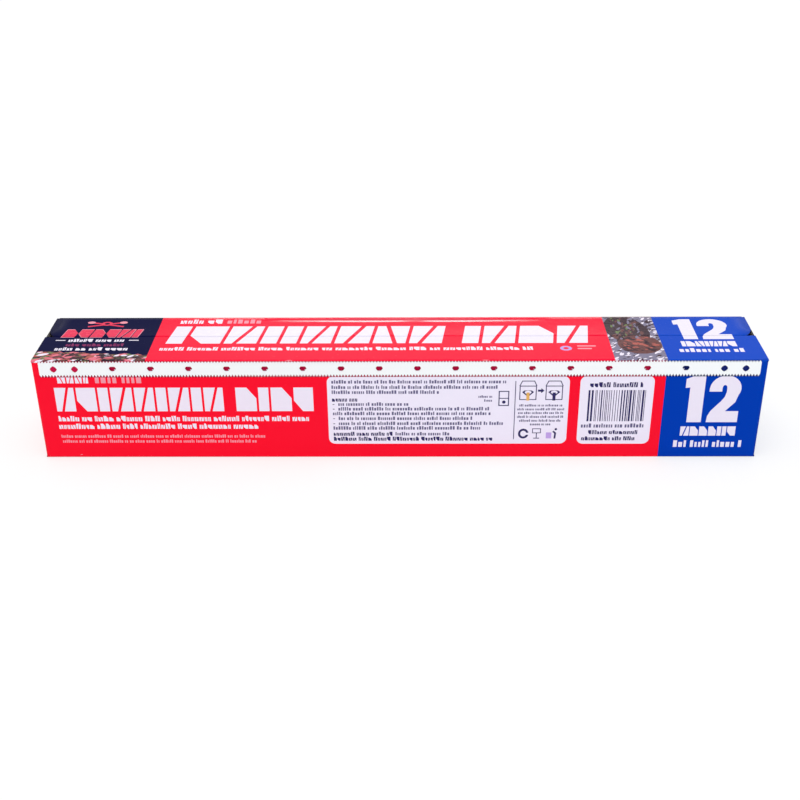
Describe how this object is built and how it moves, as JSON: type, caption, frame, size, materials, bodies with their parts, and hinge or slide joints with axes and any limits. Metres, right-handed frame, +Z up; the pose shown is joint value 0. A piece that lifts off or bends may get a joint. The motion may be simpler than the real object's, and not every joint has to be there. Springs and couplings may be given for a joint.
{
  "type": "aluminium foil roll in a cutter carton",
  "caption": "Household aluminium foil wound on a paper core, in a folded printed carton with a hinged top flap and a saw-toothed cutter strip along its front edge.",
  "frame": {"origin": "centre of the closed carton's footprint, on the surface that it stands on", "axes": "+X along the roll, +Y from the cutter strip's side towards the hinge side, +Z up; the front with the cutter strip faces -Y"},
  "size_m": [0.31, 0.0442, 0.0476],
  "materials": {
    "printed_board": "glossy varnished print outside, bare grey-white board inside",
    "tinplate": "bright rolled tinplate with a sawn edge on both sides",
    "foil": "bright rolled foil with fine creases round the roll",
    "core_paper": "bare spirally wound kraft paper"
  },
  "bodies": {
    "carton": {"carton": "printed_board", "cutter_blade": "tinplate", "foil_roll": "foil", "core_tube": "core_paper"},
    "lid": {"lid": "printed_board"}
  },
  "joints": [
    {"name": "lid_hinge", "type": "hinge", "parent": "carton", "child": "lid", "pos_m": [0, 0.02175, 0.04733], "axis": [-1, 0, 0], "range_deg": [0, 180]}
  ]
}
